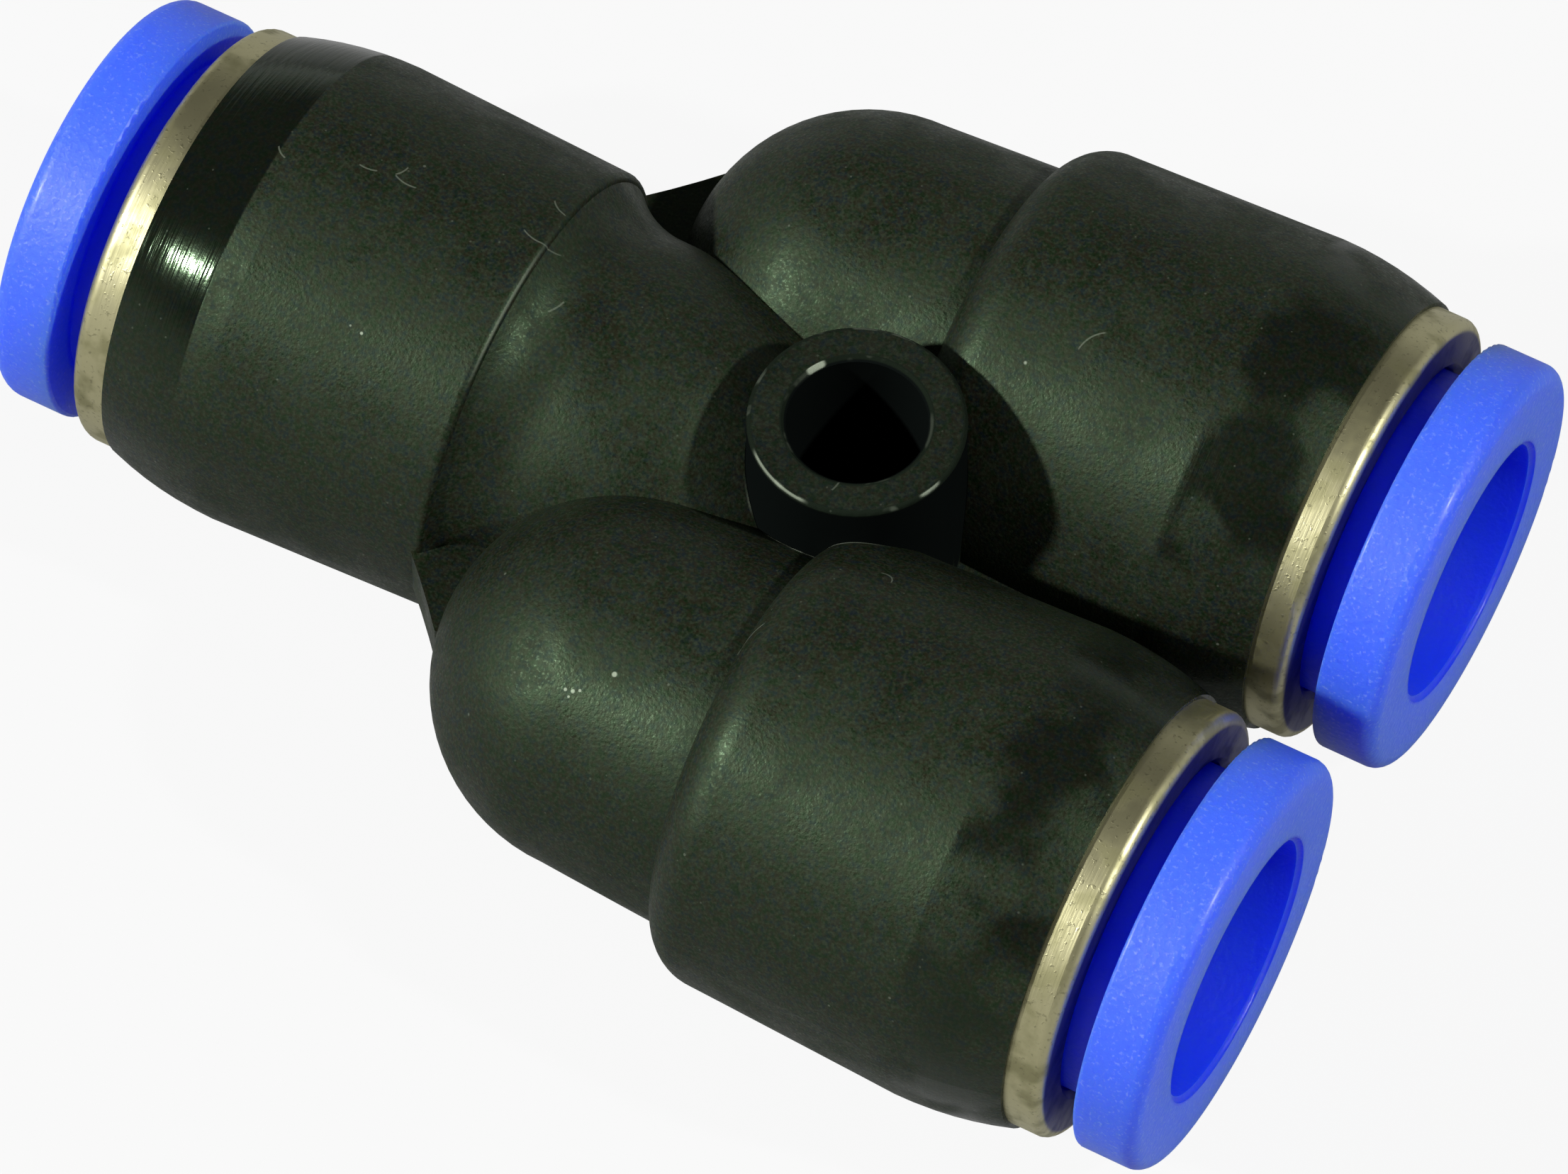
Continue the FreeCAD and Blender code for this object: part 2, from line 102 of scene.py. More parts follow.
# %% [markdown]
# ## The light
#
# Two small lamps in a dim room. The first stands on the left, over the inlet's end: it draws the
# bright streaks along the barrels, and the boss throws its shadow to the right of the hole. The
# second stands on the right, beyond the outlets, so the boss throws another shadow to the left.
# Both shadows have crisp edges, so both lamps are small. Each lamp's strength is written as the
# brightness that it gives a white sheet facing it, which is easier to judge than watts: a sheet
# at brightness 1 renders white.

# %% Hang the lamps
LAMP_DISTANCE = 500 * MM
LAMP_SIZE = 30 * MM
LAMPS = {
    "left_lamp": {"towards": (-0.60, -0.53, 0.60), "brightness": 1.15},
    "right_lamp": {"towards": (0.70, 0.07, 0.71), "brightness": 0.75},
}


def watts(brightness, distance):
    """Power of a flat lamp that gives a white sheet that brightness from that distance."""
    return brightness * math.pi**2 * distance**2


def hang_lamp(name, towards, brightness):
    light = bpy.data.lights.new(name, "AREA")
    light.shape, light.size = "DISK", LAMP_SIZE
    light.energy = watts(brightness, LAMP_DISTANCE)
    lamp = bpy.data.objects.new(name, light)
    lamp.location = Vector(towards).normalized() * LAMP_DISTANCE
    lamp.rotation_euler = lamp.location.to_track_quat("Z", "Y").to_euler()
    bpy.context.scene.collection.objects.link(lamp)
    print(name, "gives", round(light.energy, 2), "W")


for name, lamp in LAMPS.items():
    hang_lamp(name, **lamp)

# %% [markdown]
# ## Writing a material as plain sums
#
# A finish is made of nodes joined by links. Written out one by one they hide what they do, so two
# small helpers are used from here on. `Signal` wraps one output, and adding or multiplying
# signals makes the Math nodes. `Finish` holds one node tree and makes every other node through
# its one method, `node`.

# %% A number that varies over a surface
class Signal:
    """One output of a node tree. Sums of signals add their own Math nodes."""

    def __init__(self, tree, socket):
        self.tree = tree
        self.socket = socket

    def math(self, operation, *others, swap=False):
        made = self.tree.nodes.new("ShaderNodeMath")
        made.operation = operation
        values = [*others, self] if swap else [self, *others]
        for socket, value in zip(made.inputs, values):
            if isinstance(value, Signal):
                self.tree.links.new(value.socket, socket)
            else:
                socket.default_value = value
        return Signal(self.tree, made.outputs[0])

    def __add__(self, other):
        return self.math("ADD", other)

    def __radd__(self, other):
        return self.math("ADD", other)

    def __sub__(self, other):
        return self.math("SUBTRACT", other)

    def __rsub__(self, other):
        return self.math("SUBTRACT", other, swap=True)

    def __mul__(self, other):
        return self.math("MULTIPLY", other)

    def __rmul__(self, other):
        return self.math("MULTIPLY", other)

    def __truediv__(self, other):
        return self.math("DIVIDE", other)

    def __abs__(self):
        return self.math("ABSOLUTE")

    def above(self, low, high):
        """0 below low, 1 above high, and smooth between them."""
        made = self.tree.nodes.new("ShaderNodeMapRange")
        made.interpolation_type = "SMOOTHSTEP"
        made.inputs["From Min"].default_value = low
        made.inputs["From Max"].default_value = high
        self.tree.links.new(self.socket, made.inputs["Value"])
        return Signal(self.tree, made.outputs["Result"])

    def below(self, low, high):
        return 1 - self.above(low, high)

    def larger(self, other):
        return self.math("MAXIMUM", other)

    def at_most_one(self):
        return self.math("MINIMUM", 1.0)


print("a signal takes + - * / and abs, and the steps above, below and larger")

# %% [markdown]
# `Finish` measures the surface in millimetres, so that every size below reads as a real size: a
# grain of 0.12 is 0.12 mm across. The pattern is fixed to the piece through its own coordinates,
# so it stays in place when the sleeve slides. Noise comes in three forms: as it is (`grain`), cut
# into patches with soft edges (`patches`), and drawn out into lines (`streaks`).

# %% One material, ready to be fed
def colour(red, green, blue):
    return (red, green, blue, 1.0)


def usable(sockets, name):
    """The socket of that name, with _ for a space, that the node's settings leave in use."""
    for socket in sockets:
        if socket.enabled and name in (socket.name.replace(" ", "_"), socket.identifier):
            return socket
    raise KeyError(name)


class Finish:
    """A node tree with a Principled shader, measured in millimetres of the object's own frame."""

    def __init__(self, name, **constants):
        self.material = bpy.data.materials.new(name)
        self.material.use_nodes = True
        self.tree = self.material.node_tree
        self.shader = self.tree.nodes["Principled BSDF"]
        for socket, value in constants.items():
            self.shader.inputs[socket.replace("_", " ")].default_value = value

    def node(self, kind, settings=None, output=None, **inputs):
        made = self.tree.nodes.new(f"ShaderNode{kind}")
        for setting, value in (settings or {}).items():
            setattr(made, setting, value)
        for name, value in inputs.items():
            socket = usable(made.inputs, name)
            if isinstance(value, Signal):
                self.tree.links.new(value.socket, socket)
            else:
                socket.default_value = value
        found = usable(made.outputs, output) if output else made.outputs[0]
        return Signal(self.tree, found)

    def place(self):
        """The point on the surface, in mm."""
        metres = self.node("TexCoord", output="Object")
        return self.node("VectorMath", {"operation": "SCALE"}, Vector=metres, Scale=1 / MM)

    def parts(self, vector):
        """A vector's three numbers."""
        return [self.node("SeparateXYZ", output=axis, Vector=vector) for axis in "XYZ"]

    def along(self, point, middle, way):
        """How far the point lies from middle, measured along way."""
        subtract, dot = {"operation": "SUBTRACT"}, {"operation": "DOT_PRODUCT"}
        offset = self.node("VectorMath", subtract, Vector=point, Vector_001=middle)
        return self.node("VectorMath", dot, "Value", Vector=offset, Vector_001=way)

    def distance(self, point, middle):
        between = {"operation": "DISTANCE"}
        return self.node("VectorMath", between, "Value", Vector=point, Vector_001=middle)

    def grain(self, point, size, detail=2.0):
        """Soft random noise about size mm across, between 0 and 1."""
        return self.node("TexNoise", output="Fac", Vector=point, Scale=1 / size, Detail=detail)

    def patches(self, point, size, start, full, detail=2.0):
        """Grain cut into patches: none where it is under start, whole where it is over full."""
        return self.grain(point, size, detail).above(start, full)

    def streaks(self, point, per_mm, detail=2.0):
        """Grain drawn out into lines: per_mm is how many fit in 1 mm along x, y and z."""
        drawn = self.node("Mapping", Vector=point, Scale=per_mm)
        return self.node("TexNoise", output="Fac", Vector=drawn, Scale=1.0, Detail=detail)

    def mix(self, mask, first, second):
        """The first colour where the mask is 0 and the second where it is 1."""
        settings = {"data_type": "RGBA"}
        return self.node("Mix", settings, "Result", Factor=mask, A=first, B=second)

    def bump(self, height, depth):
        """Relief: depth is the height's full swing in mm."""
        return self.node("Bump", output="Normal", Height=height, Distance=depth * MM)

    def feed(self, **inputs):
        for name, value in inputs.items():
            self.tree.links.new(value.socket, self.shader.inputs[name.replace("_", " ")])

    def cover_with(self, shader, share):
        """Lay another shader over the Principled one, by that share."""
        own = Signal(self.tree, self.shader.outputs["BSDF"])
        mixed = self.node("MixShader", Fac=share, Shader=own, Shader_001=shader)
        self.tree.links.new(mixed.socket, self.tree.nodes["Material Output"].inputs["Surface"])

    def dress(self, *pieces):
        for piece in pieces:
            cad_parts[piece].data.materials.clear()
            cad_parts[piece].data.materials.append(self.material)
        print(self.material.name, "dresses", *pieces, "with", len(self.tree.nodes), "nodes")

    def dress_ports(self, kind):
        """Dress the piece of that kind at the inlet and at both outlets."""
        self.dress(*[f"{port}_{kind}" for port in PORTS])


print("a finish measures in mm: 1 mm is", MM, "m")

# %% [markdown]
# ## The body's plastic
#
# Black nylon with glass in it, moulded in a spark-eroded cavity: nearly all of its surface has a
# fine matt texture that breaks the light into a grey-green haze. The last few millimetres of each
# barrel were polished in the mould, and there the same plastic is darker and shows the lamp as a
# streak. At the inlet the border between the two is a crisp line round the barrel, and the polish
# shows mostly on the upper side. At the outlets the border is softer and the polish is rubbed
# dull in places. The two looks are one finish, mixed by the distance along x: one mask stands for
# both ends. Here and below, a pair of numbers says where a mask starts to change and where it is
# done.

# %% Matt and polished zones
INLET_BORDER = (-19.35, -19.25)
OUTLET_BORDER = (8.9, 9.35)
INLET_SHINE_HEIGHT = (2.4, 5.4)
INLET_SHINE_BELOW = 0.15
OUTLET_SHINE = 0.68
SHINE_RUBBED_OFF = 0.64

body = Finish(
    "black_body_plastic", Specular_IOR_Level=0.36, Specular_Tint=colour(0.66, 1.0, 0.58)
)
spot = body.place()
x, y, z = body.parts(spot)
rubbed_dull = body.patches(spot, size=2.4, start=0.38, full=0.60, detail=1.5)
inlet_shine = INLET_SHINE_BELOW + (1 - INLET_SHINE_BELOW) * z.above(*INLET_SHINE_HEIGHT)
inlet_polish = x.below(*INLET_BORDER) * inlet_shine
outlet_polish = x.above(*OUTLET_BORDER) * (OUTLET_SHINE - SHINE_RUBBED_OFF * rubbed_dull)
polished = inlet_polish.larger(outlet_polish)
matt = 1 - polished
print("polished in front of x =", INLET_BORDER[0], "and behind x =", OUTLET_BORDER[1], "mm")

# %% [markdown]
# The matt zone is mottled at several scales: specks of glass at a tenth of a millimetre, grains
# that lean to brown at nearly two tenths, and clouds of three tenths that lean to green or to
# blue-grey. Wide, faint patches left by handling come on top, in the gloss alone. Each is a
# noise, and each only tints the colour a little, because black plastic gets its brightness from
# its gloss.

# %% Colour of the matt zone
GREEN_BLACK = colour(0.0024, 0.0074, 0.0016)
BLUE_BLACK = colour(0.0030, 0.0052, 0.0100)
BROWN_BLACK = colour(0.0125, 0.0070, 0.0042)
GLASS_SPECK = colour(0.020, 0.025, 0.015)
POLISHED_BLACK = colour(0.0030, 0.0044, 0.0030)
BROWN_SHARE = 0.7
SPECKS_LOST_TO_POLISH = 0.5
POLISHED_SHARE = 0.7

specks = body.patches(spot, size=0.10, start=0.40, full=0.80, detail=3.0)
brown = body.patches(spot, size=0.17, start=0.38, full=0.62, detail=1.0)
clouds = body.patches(spot, size=0.32, start=0.40, full=0.66)

black = body.mix(clouds, GREEN_BLACK, BLUE_BLACK)
black = body.mix(BROWN_SHARE * brown, black, BROWN_BLACK)
black = body.mix(specks * (1 - SPECKS_LOST_TO_POLISH * polished), black, GLASS_SPECK)
black = body.mix(POLISHED_SHARE * polished, black, POLISHED_BLACK)
print("the body's tree has", len(body.tree.nodes), "nodes with its colours")

# %% [markdown]
# Relief does the rest. The spark texture is a dense field of tiny pits. Its roughness also
# swings, with the handling, with the clouds and with small points that sparkle, so the highlights
# break up instead of lying on the barrels as clean bands. The polished ends keep faint lines of
# the mould maker's tool, which run round the barrel: a noise that is fine along x and long the
# other ways.

# %% Relief and gloss of the body
MATT_ROUGHNESS = 0.46
POLISHED_ROUGHNESS = 0.12
ROUGHER_BY_HANDLING = 0.16
ROUGHER_BY_CLOUDS = 0.06
SMOOTHER_BY_SPARKLE = 0.14
TOOL_LINES_PER_MM = (9.0, 0.4, 0.4)
TOOL_LINE_HEIGHT = 1.2
PITS_LEFT_IN_POLISH = 0.15
BODY_RELIEF = 0.012

handling = body.patches(spot, size=2.0, start=0.35, full=0.68, detail=3.0)
sparkle = body.patches(spot, size=0.09, start=0.52, full=0.66, detail=3.0)
roughening = ROUGHER_BY_HANDLING * handling + ROUGHER_BY_CLOUDS * clouds
matt_roughness = MATT_ROUGHNESS + roughening - SMOOTHER_BY_SPARKLE * sparkle
roughness = matt * matt_roughness + POLISHED_ROUGHNESS * polished

pits = body.grain(spot, size=0.11)
tool_lines = body.streaks(spot, TOOL_LINES_PER_MM)
polished_relief = TOOL_LINE_HEIGHT * tool_lines + PITS_LEFT_IN_POLISH * pits
relief = matt * pits + polished * polished_relief
print("the body's tree has", len(body.tree.nodes), "nodes with its gloss and relief")

# %% [markdown]
# ## Marks of use and painted highlights on the body
#
# The real fitting has lain about: a few hairs of dust and pale specks. Not all the specks are
# dust:
# five of them, on the near branch's dome, are painted highlights, the camera flash's small glint
# and a cluster where a lamp's highlight lies. The small bright spots on the boss's edge and on its
# hole's edge, further down, are painted highlights as well. A hair is a short curved line, given
# by its two ends and how far it bows. A speck is a small ball of the surface round one point,
# given with its radius. All of them are masks, added up, and the sum turns the black plastic pale.
# A hair's mask reaches through the whole body, so all the marks are kept to its upper side.

# %% Hairs, specks and painted glints
HAIRS = (
    ((-17.0, 0.53, 7.38), (-16.4, 0.60, 7.38), 0.05),
    ((-15.9, 0.75, 7.32), (-15.1, 0.65, 7.32), 0.08),
    ((-15.9, 0.75, 7.32), (-15.7, 1.20, 7.26), 0.05),
    ((-11.5, 2.53, 6.80), (-10.9, 2.15, 6.90), 0.08),
    ((-11.7, 0.98, 7.14), (-10.4, 1.05, 7.12), 0.22),
    ((-9.95, -0.75, 6.20), (-9.70, -0.15, 6.22), 0.03),
    ((-19.4, -0.05, 7.50), (-19.0, -0.35, 7.49), 0.05),
    ((2.90, -4.02, 6.20), (3.40, -4.30, 6.35), -0.18),
    ((0.50, -8.35, 6.08), (0.90, -7.35, 6.09), -0.10),
    ((4.60, 5.15, 6.84), (5.15, 5.95, 7.08), -0.12),
    ((0.48, -2.50, 6.75), (0.54, -2.10, 6.75), 0.02),
)
SPECKS_AND_GLINTS = (
    ((-14.84, -3.92, 6.27), 0.07), ((-12.93, -4.38, 5.96), 0.07), ((-13.37, -3.70, 6.41), 0.06),
    ((-9.83, -0.07, 6.00), 0.05), ((-9.87, -0.35, 5.99), 0.05), ((-9.91, -0.62, 5.97), 0.05),
    ((-1.93, -7.65, 5.49), 0.07), ((3.33, 4.31, 6.35), 0.09), ((-2.41, 5.90, 6.97), 0.06),
    # On this line the first two specks, and on the next line all three, are painted highlights on
    # the near branch's dome.
    ((-2.54, -10.20, 5.25), 0.10), ((-3.49, -11.00, 4.72), 0.08), ((-14.44, -3.95, 6.18), 0.06),
    ((-3.30, -10.92, 4.79), 0.06), ((-3.72, -11.02, 4.67), 0.07), ((-3.55, -11.16, 4.60), 0.05),
)
HAIR_WIDTH = 0.035
HAIR_CORE = 0.4
HAIR_TAPER = 0.85
HAIR_SHARE, SPECK_AND_GLINT_SHARE = 0.22, 0.9
UPPER_SIDE = (1.0, 3.0)


def near(point, core, reach):
    """A ball round a point of the surface: whole within core, gone beyond reach."""
    return body.distance(spot, point).below(core, reach)


def hair(start, end, bow):
    """A pale line from start to end that bows sideways by bow at its middle."""
    start, end = Vector(start), Vector(end)
    middle, half = (start + end) / 2, (end - start) / 2
    way = half.normalized()
    side = way.cross(Vector((0, 0, 1))).normalized()
    run = body.along(spot, middle, way) / half.length
    drift = body.along(spot, middle, side) - bow * (1 - run * run)
    return abs(drift).below(HAIR_CORE * HAIR_WIDTH, HAIR_WIDTH) * abs(run).below(HAIR_TAPER, 1.0)


hairs = sum(hair(*shape) for shape in HAIRS)
specks_and_glints = sum(near(point, radius / 2, radius) for point, radius in SPECKS_AND_GLINTS)
marks_and_glints = (SPECK_AND_GLINT_SHARE * specks_and_glints + HAIR_SHARE * hairs) * z.above(*UPPER_SIDE)
print(len(HAIRS), "hairs and", len(SPECKS_AND_GLINTS), "specks placed")

# %% [markdown]
# Dust that is not placed one grain at a time comes from cells: a Voronoi pattern gives each cell
# one centre, about one spacing from the next, and a small share of the centres, chosen by the
# cell's random colour, get a grain. Rarity is the share of the cells that stay clean. The coarser
# kind is dust; the finer kind is painted glints, pale points that stand in for the texture's
# sparkle.

# %% Scattered dust and painted glints
DUST_AND_GLINTS = (
    {"spacing": 0.9, "radius": 0.06, "rarity": 0.80, "strength": 0.20},
    # This finer kind is painted glints: pale points standing in for the sparkle of the texture.
    {"spacing": 0.4, "radius": 0.045, "rarity": 0.72, "strength": 0.10},
)
CHANCE_FADE = 0.05


def scattered(spacing, radius, rarity, strength):
    cell = {"Vector": spot, "Scale": 1 / spacing}
    centre = body.node("TexVoronoi", output="Distance", **cell)
    chance = body.parts(body.node("TexVoronoi", output="Color", **cell))[0]
    grain = centre.below(0.5 * radius / spacing, radius / spacing)
    return strength * (grain * chance.above(rarity, rarity + CHANCE_FADE))


dust_and_glints = sum(scattered(**kind) for kind in DUST_AND_GLINTS)
print(len(DUST_AND_GLINTS), "kinds of dust scattered")

# %% [markdown]
# The boss was handled most. Its upper rim is worn pale in places, and so is the edge of its hole.
# Both are rings round z, so the distance from the hole's axis finds them, and a noise of about a
# millimetre decides where the wear is. The boss's top is at z 6.75, its rim has a radius of 3.25
# and is rounded, and the hole has a radius of 2.1 and a small chamfer. Two stretches of the rim
# and one place on the hole's edge get pale spots of their own, each given as a point and how far
# it reaches: these are painted highlights, where the lamps glint on the rounded rim and on the
# chamfer.

# %% Worn edges of the boss, and painted glints on them
BOSS_EDGES_START = (6.55, 6.62)
# Painted highlights where the lamps glint: two stretches of the rounded rim, one spot on the
# hole's chamfer.
RIM_GLINTS = (((-1.15, -2.95, 6.75), 0.9, 1.3), ((3.00, -1.10, 6.75), 0.25, 0.45))
HOLE_GLINT = ((-1.92, 1.05, 6.75), 0.20, 0.38)
RIM_WEAR_SHARE, HOLE_WEAR_SHARE, HOLE_GLINT_SHARE = 0.3, 0.2, 2.0

from_axis = (x * x + y * y).math("SQRT")
near_top = z.above(*BOSS_EDGES_START)


def ring_round_hole(radius, core, reach):
    """A ring on the surface: whole within core of that radius, gone beyond reach of it."""
    return abs(from_axis - radius).below(core, reach)


rubbed = body.patches(spot, size=0.8, start=0.58, full=0.68)
rim_wear = ring_round_hole(radius=3.19, core=0.03, reach=0.08) * rubbed
hole_wear = ring_round_hole(radius=2.18, core=0.03, reach=0.09) * rubbed
# The rim's and the hole's glints are painted highlights, added to the real wear in the sum below.
glinting = sum(near(*nick) for nick in RIM_GLINTS)
rim_glints = ring_round_hole(radius=3.20, core=0.015, reach=0.05) * glinting
hole_glint = ring_round_hole(radius=2.20, core=0.04, reach=0.10) * near(*HOLE_GLINT)
rubbed_pale = RIM_WEAR_SHARE * rim_wear + HOLE_WEAR_SHARE * hole_wear
wear_and_glints = (rubbed_pale + rim_glints + HOLE_GLINT_SHARE * hole_glint) * near_top
print("worn: the boss's rim, its hole's edge and", len(RIM_GLINTS) + 1, "nicks")

# %% [markdown]
# Two more lines are painted highlights: one on the upper side of the inlet barrel's rounded rim,
# where the lamp glints on it, and one round the foot of the boss, where a small fillet in the
# corner would catch the light. Each is a thin ring that is kept to the stretch where it shows.

# %% Painted highlight lines on the inlet's rim and the boss's foot
INLET_RIM_X = -10.87
INLET_RIM_WIDTH = (0.01, 0.05)
INLET_RIM_RADIUS = (6.85, 6.95)
FOOT_INSIDE, FOOT_OUTSIDE = (3.285, 3.30), (3.33, 3.38)
FOOT_HEIGHT = (3.4, 3.8)
INLET_RIM_HIGHLIGHT_STRETCH = ((-10.8, -1.6, 6.9), 0.8, 3.0)
FOOT_HIGHLIGHT_STRETCH = ((-0.2, -3.3, 4.2), 1.0, 3.0)

from_inlet_axis = (y * y + z * z).math("SQRT")
# Painted highlight: a pale line on the upper stretch of the inlet barrel's rounded rim.
inlet_rim_highlight = abs(x - INLET_RIM_X).below(*INLET_RIM_WIDTH) * from_inlet_axis.above(*INLET_RIM_RADIUS)
inlet_rim_highlight = inlet_rim_highlight * near(*INLET_RIM_HIGHLIGHT_STRETCH)
# Painted highlight: a pale line round the boss's foot, where a small fillet would catch the light.
foot_highlight = from_axis.above(*FOOT_INSIDE) * from_axis.below(*FOOT_OUTSIDE) * z.above(*FOOT_HEIGHT)
foot_highlight = foot_highlight * near(*FOOT_HIGHLIGHT_STRETCH)
print("two lines round the axes, at x =", INLET_RIM_X, "and at radius", FOOT_INSIDE[1], "mm")

# %% [markdown]
# The boss's own wall and its hole look nearly black, because nothing bright stands where their
# gloss would mirror it. That darkness is painted shade: a near-black second plastic without gloss
# is laid over them. A mask says where it is: all of the hole, all of the wall, and a third as much
# on the boss's flat top. The edges of the top would catch a lamp all the way round, so a second
# mask finds them, paints them dark as shade and makes them rough.

# %% Painted shade on the boss's walls
HOLE_WALL = (2.13, 2.20)
BOSS_WALL = (3.285, 3.30)
TOP_PAINTED_SHADE = 0.35
HOLE_EDGE_END = (2.27, 2.31)
RIM_EDGE_START, RIM_EDGE_END = (3.08, 3.16), (3.5, 3.6)

under_top = abs(z).below(*BOSS_EDGES_START)
boss = from_axis.below(*BOSS_WALL) * (TOP_PAINTED_SHADE + (1 - TOP_PAINTED_SHADE) * under_top)
painted_shade_walls = from_axis.below(*HOLE_WALL).larger(boss)
hole_rim = from_axis.below(*HOLE_EDGE_END)
boss_rim = from_axis.above(*RIM_EDGE_START) * from_axis.below(*RIM_EDGE_END)
boss_edges = near_top * hole_rim.larger(boss_rim)
print("the body's tree has", len(body.tree.nodes), "nodes with its marks")

# %% [markdown]
# Now the parts of the body's finish are put together. The pale marks and painted highlights lie
# over the colour, the painted shade lies over all, and where the boss is worn or carries a
# painted glint the pale shows through it.

# %% Dress the body
EDGE_BLACK = colour(0.0010, 0.0014, 0.0010)
EDGE_ROUGHNESS = 0.85
PALE_MARK_AND_HIGHLIGHT = colour(0.30, 0.34, 0.26)
PAINTED_SHADE_BLACK = colour(0.0036, 0.0048, 0.0044)
WEAR_AND_GLINT_SHARE, RIM_HIGHLIGHT_SHARE, FOOT_HIGHLIGHT_SHARE = 0.6, 0.35, 0.9
WEAR_AND_GLINTS_THROUGH_SHADE = 0.8

lines = RIM_HIGHLIGHT_SHARE * inlet_rim_highlight + FOOT_HIGHLIGHT_SHARE * foot_highlight
# The pale colour carries the real marks and wear together with the painted highlights and glints.
pale_marks_and_highlights = (marks_and_glints + WEAR_AND_GLINT_SHARE * wear_and_glints + dust_and_glints + lines).at_most_one()
# Painted shade on the boss's edges, where they would otherwise catch a lamp.
surface = body.mix(boss_edges, black, EDGE_BLACK)
surface = body.mix(pale_marks_and_highlights, surface, PALE_MARK_AND_HIGHLIGHT)
body.feed(
    Base_Color=surface,
    Roughness=roughness.larger(EDGE_ROUGHNESS * boss_edges),
    Normal=body.bump(relief * (1 - painted_shade_walls), BODY_RELIEF),
)
# Painted shade: a glossless near-black plastic laid over the boss's wall, its hole and part of its
# top.
painted_shade_plastic = body.node("BsdfPrincipled", Base_Color=PAINTED_SHADE_BLACK, Roughness=1.0, Specular_IOR_Level=0.0)
body.cover_with(painted_shade_plastic, painted_shade_walls * (1 - WEAR_AND_GLINTS_THROUGH_SHADE * wear_and_glints.at_most_one()))
body.dress("body")

# %% [markdown]
# ## The blue sleeves
#
# Acetal, dyed through: a strong clear blue that goes deeper where the light reaches it only by
# way of other blue walls, in the groove behind the flange and down the bore. A little light also
# travels inside the plastic, the blue part of it farthest, so the edges of a shadow glow. The
# flange, which takes the lamps directly, is painted a paler blue than the bore: a painted sheen of
# its light. Which part of a sleeve a point belongs to follows from how far it lies from the axis
# of its own tube, so that is measured first. The inlet's axis lies at y = 0 and the outlets' lie
# either side of it, so a step along x switches from the one to the other.

# %% Distance from a tube's axis
outlet_low, outlet_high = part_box("left_outlet_cap_ring")
BRANCH_OFFSET = (outlet_low.y + outlet_high.y) / 2 / MM
INLET_TO_OUTLETS = (-1.0, 1.0)


def from_port_axis(finish, point):
    """How far a point of a ring or a sleeve lies from the axis of its own tube."""
    x, y, z = finish.parts(point)
    across = abs(y) - BRANCH_OFFSET * x.above(*INLET_TO_OUTLETS)
    return (across * across + z * z).math("SQRT")


print("the outlets' axes lie", round(BRANCH_OFFSET, 2), "mm either side of the inlet's")

# %% [markdown]
# The flange's rim is all that lies farther out than the sleeve's tube. Its front face reaches in
# to the bore, and is told from the bore by how far it lies from the fitting's middle. The mould
# left a fine orange-peel relief, which turns the lamp's reflection on the flange's side into a
# cluster of bright points, and slightly lighter fine spots are laid on the flange.

# %% Dress the sleeves
MIDDLE_X = -4.675
FLANGE_RIM_RADIUS = (5.3, 5.5)
FLANGE_FACE_RADIUS = (4.25, 4.35)
FLANGE_FACE_START = (19.9, 20.1)
DEEP_BLUE = colour(0.004, 0.040, 0.98)
CLEAR_BLUE = colour(0.010, 0.060, 1.0)
# Painted sheen: the flange's paler blue stands for its light.
FLANGE_PAINTED_SHEEN_BLUE = colour(0.050, 0.140, 1.0)
PALE_SPOT_BLUE = colour(0.26, 0.36, 1.0)
PALE_SPOT_SHARE = 0.5
SLEEVE_ROUGHNESS, ROUGHER_BY_PEEL = 0.46, 0.14
SLEEVE_RELIEF = 0.03

sleeve = Finish(
    "blue_sleeve_plastic",
    Coat_Weight=0.12,
    Coat_Roughness=0.22,
    Subsurface_Weight=1.0,
    Subsurface_Radius=(0.05, 0.12, 1.0),
    Subsurface_Scale=3.0 * MM,
)
sleeve_spot = sleeve.place()
from_tube_axis = from_port_axis(sleeve, sleeve_spot)
from_middle = abs(sleeve.parts(sleeve_spot)[0] - MIDDLE_X)
face = from_tube_axis.above(*FLANGE_FACE_RADIUS) * from_middle.above(*FLANGE_FACE_START)
flange = from_tube_axis.above(*FLANGE_RIM_RADIUS).larger(face)
swirl = sleeve.grain(sleeve_spot, size=2.4)
pale_spots = sleeve.patches(sleeve_spot, size=0.11, start=0.54, full=0.74, detail=3.0)
blue = sleeve.mix(swirl, DEEP_BLUE, CLEAR_BLUE)
# The flange gets the paler blue as painted sheen.
blue = sleeve.mix(flange, blue, FLANGE_PAINTED_SHEEN_BLUE)
blue = sleeve.mix(PALE_SPOT_SHARE * pale_spots * flange, blue, PALE_SPOT_BLUE)
peel = sleeve.grain(sleeve_spot, size=0.22, detail=3.0)
sleeve.feed(
    Base_Color=blue,
    Roughness=SLEEVE_ROUGHNESS + ROUGHER_BY_PEEL * peel,
    Normal=sleeve.bump(peel, SLEEVE_RELIEF),
)
sleeve.dress_ports("release_sleeve")

# %% [markdown]
# ## The metal rings
#
# Brass with a dull nickel plating, turned on a lathe and then tumbled: warm grey, lines that run
# round the ring, and darker blotches where the plating is stained. The ring's axis lies along x
# at every port, so lines round it are a noise that is fine along x and long the other ways. The
# ring's front face stands in the groove behind the blue flange. Its colour there is painted shade,
# dark and with a painted reflection of the sleeve's blue.

# %% Dress the rings
TURNED_LINES_PER_MM = (14.0, 0.5, 0.5)
NICKEL = colour(0.56, 0.53, 0.31)
STAINED_NICKEL = colour(0.33, 0.315, 0.17)
PITTED_NICKEL = colour(0.17, 0.16, 0.09)
